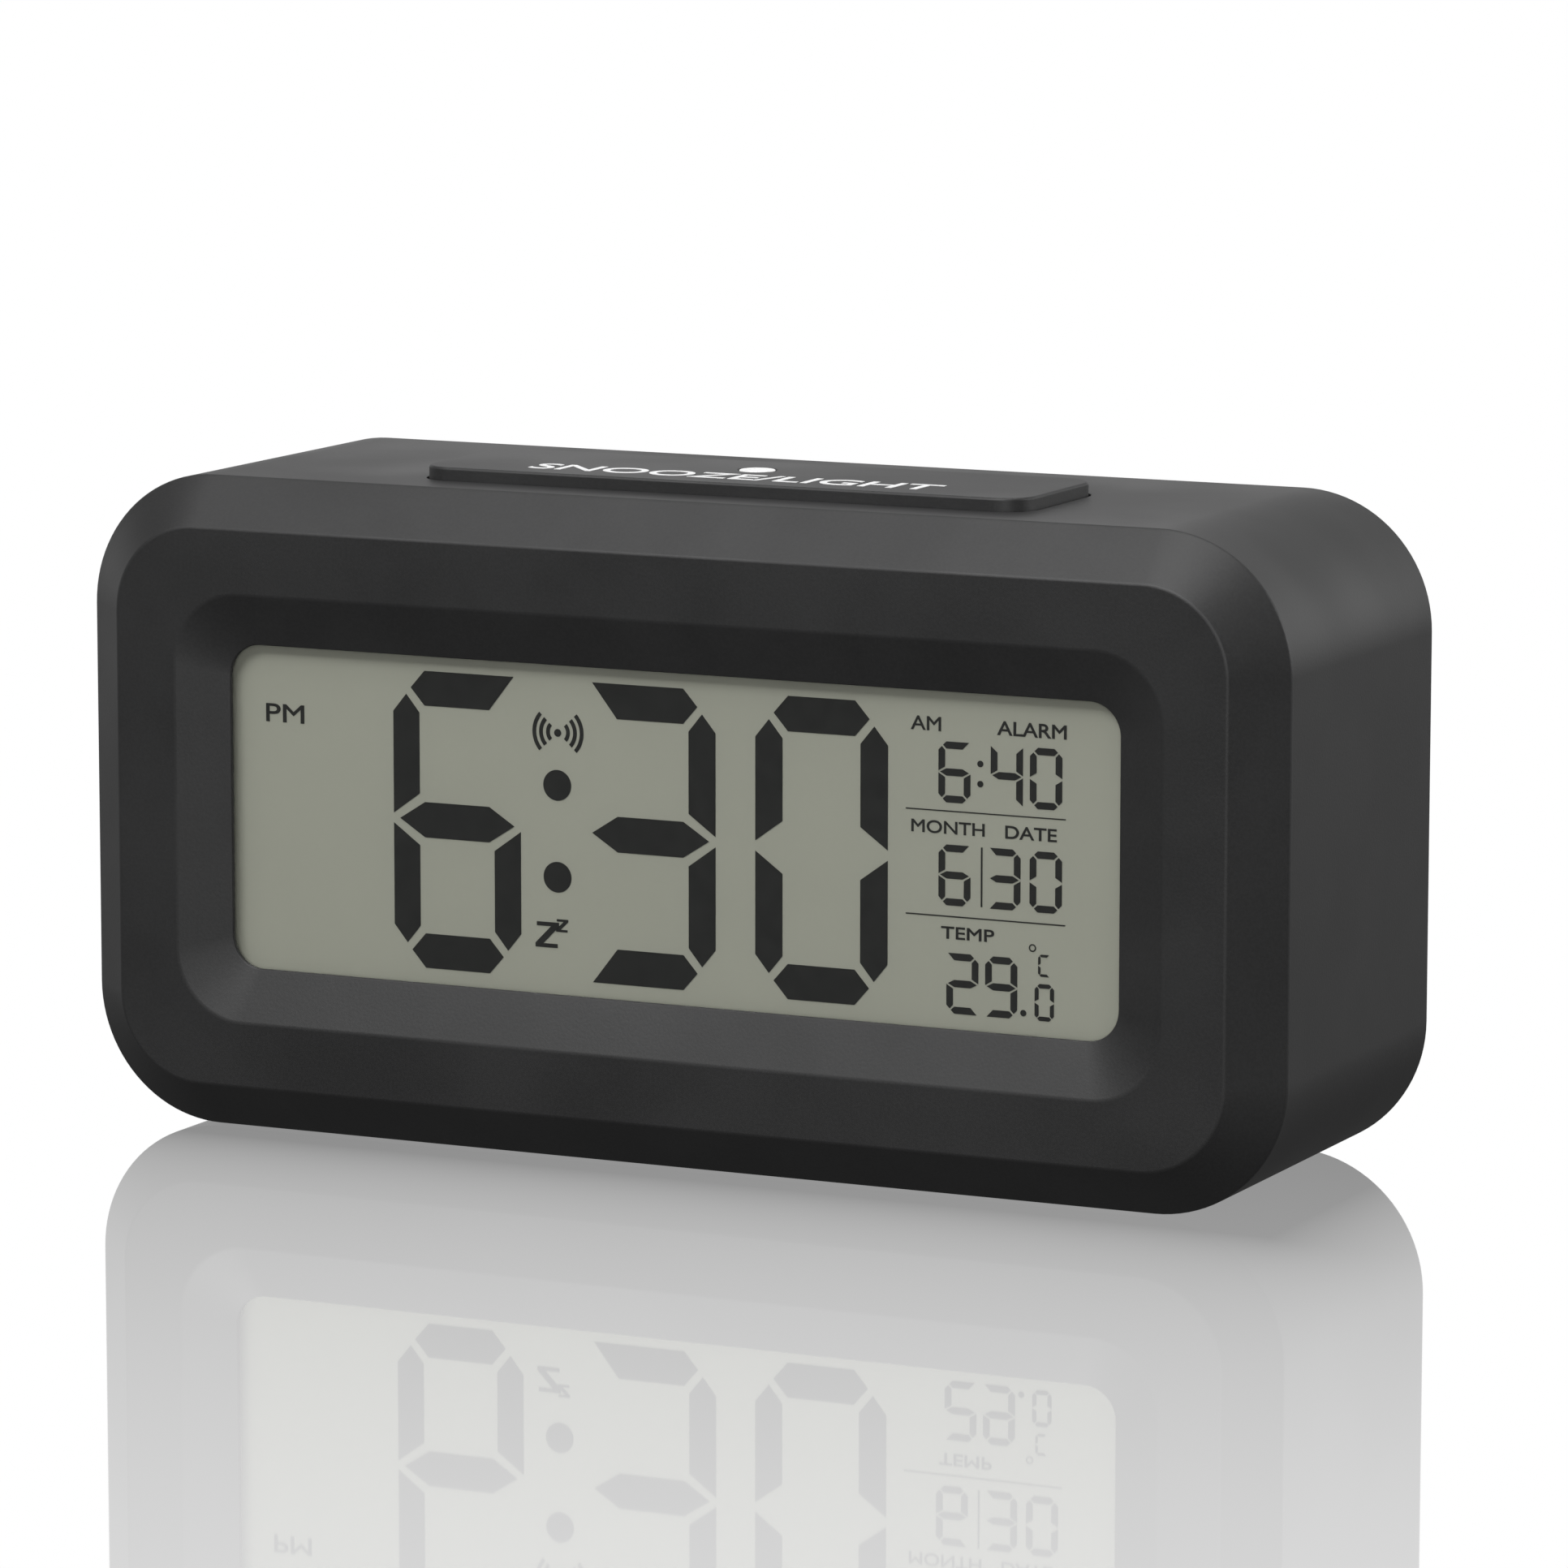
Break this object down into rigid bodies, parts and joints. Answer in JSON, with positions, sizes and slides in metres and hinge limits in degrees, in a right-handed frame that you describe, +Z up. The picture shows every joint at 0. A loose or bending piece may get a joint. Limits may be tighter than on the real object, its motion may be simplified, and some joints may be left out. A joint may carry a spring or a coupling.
{
  "type": "alarm clock",
  "caption": "Free-standing battery alarm clock: bevelled black case, large segment LCD, wide press bar on top, rear keys, slide switch and hinged battery door.",
  "frame": {"origin": "on the surface the clock stands on, under the centre of the whole object's box", "axes": "+Z up, the display faces -Y, +X to the right of someone reading the clock"},
  "size_m": [0.135, 0.0432, 0.0703],
  "materials": {
    "black_soft_paint": "soft-touch matte paint",
    "black_plastic": "fine moulded texture",
    "black_rubber": "matte",
    "clear_plastic": "clear, polished",
    "lcd_grey": "fine anti-glare film",
    "milk_plastic": "translucent white",
    "white_film": "white film",
    "natural_plastic": "uncoloured moulding",
    "board_green": "green solder mask",
    "conductive_rubber": "striped conductive rubber",
    "black_epoxy": "cured epoxy",
    "bright_steel": "zinc plated",
    "nickel_plate": "nickel plated",
    "cell_sleeve": "printed sleeve over the can",
    "sensor_ceramic": "coated ceramic",
    "red_lead": "sleeved wire",
    "black_lead": "sleeved wire",
    "ribbon_grey": "flat cable"
  },
  "bodies": {
    "case": {"front_case": "black_soft_paint", "rear_cover": "black_plastic", "buzzer": "black_plastic", "snooze_switch_left": "black_plastic", "snooze_switch_right": "black_plastic", "key_switch_mode": "black_plastic", "key_switch_set": "black_plastic", "key_switch_up": "black_plastic", "key_switch_down": "black_plastic", "foot_front_left": "black_rubber", "foot_front_right": "black_rubber", "foot_rear_left": "black_rubber", "foot_rear_right": "black_rubber", "display_lens": "clear_plastic", "light_guide": "clear_plastic", "lcd_panel": "lcd_grey", "backlight_led": "milk_plastic", "reflector_sheet": "white_film", "lcd_frame": "natural_plastic", "main_board": "board_green", "snooze_board": "board_green", "key_board": "board_green", "backlight_board": "board_green", "zebra_strip": "conductive_rubber", "clock_chip": "black_epoxy", "thermistor": "black_epoxy", "quartz_crystal": "bright_steel", "slide_switch_body": "bright_steel", "board_screw_left": "bright_steel", "board_screw_right": "bright_steel", "cover_screw_lower_left": "bright_steel", "cover_screw_lower_right": "bright_steel", "cover_screw_upper_left": "bright_steel", "cover_screw_upper_right": "bright_steel", "contact_link_left": "nickel_plate", "contact_link_right": "nickel_plate", "contact_spring_negative": "nickel_plate", "contact_plate_positive": "nickel_plate", "cell_1": "cell_sleeve", "cell_2": "cell_sleeve", "cell_3": "cell_sleeve", "light_sensor": "sensor_ceramic", "battery_lead_red": "red_lead", "battery_lead_black": "black_lead", "key_ribbon": "ribbon_grey", "snooze_ribbon": "ribbon_grey"},
    "snooze_bar": {"snooze_button": "black_soft_paint", "sensor_window": "milk_plastic", "snooze_stem_left": "natural_plastic", "snooze_stem_right": "natural_plastic"},
    "mode_key": {"key_mode": "black_rubber", "key_stem_mode": "natural_plastic"},
    "set_key": {"key_set": "black_rubber", "key_stem_set": "natural_plastic"},
    "up_key": {"key_up": "black_rubber", "key_stem_up": "natural_plastic"},
    "down_key": {"key_down": "black_rubber", "key_stem_down": "natural_plastic"},
    "night_light_switch": {"slide_switch_knob": "black_plastic"},
    "battery_door": {"battery_door": "black_plastic"}
  },
  "joints": [
    {"name": "snooze_bar_press", "type": "slide", "parent": "case", "child": "snooze_bar", "axis": [0, 0, -1], "range_m": [0, 0.0008], "stiffness_N_per_m": 2500, "springref_m": -0.0002},
    {"name": "mode_key_press", "type": "slide", "parent": "case", "child": "mode_key", "axis": [0, -1, 0], "range_m": [0, 0.0006], "stiffness_N_per_m": 2500, "springref_m": -0.0001},
    {"name": "set_key_press", "type": "slide", "parent": "case", "child": "set_key", "axis": [0, -1, 0], "range_m": [0, 0.0006], "stiffness_N_per_m": 2500, "springref_m": -0.0001},
    {"name": "up_key_press", "type": "slide", "parent": "case", "child": "up_key", "axis": [0, -1, 0], "range_m": [0, 0.0006], "stiffness_N_per_m": 2500, "springref_m": -0.0001},
    {"name": "down_key_press", "type": "slide", "parent": "case", "child": "down_key", "axis": [0, -1, 0], "range_m": [0, 0.0006], "stiffness_N_per_m": 2500, "springref_m": -0.0001},
    {"name": "night_light_slide", "type": "slide", "parent": "case", "child": "night_light_switch", "axis": [1, 0, 0], "range_m": [0, 0.002]},
    {"name": "battery_door_tilt", "type": "hinge", "parent": "case", "child": "battery_door", "pos_m": [0, 0.02025, 0.0083], "axis": [-1, 0, 0], "range_deg": [0, 75]}
  ]
}
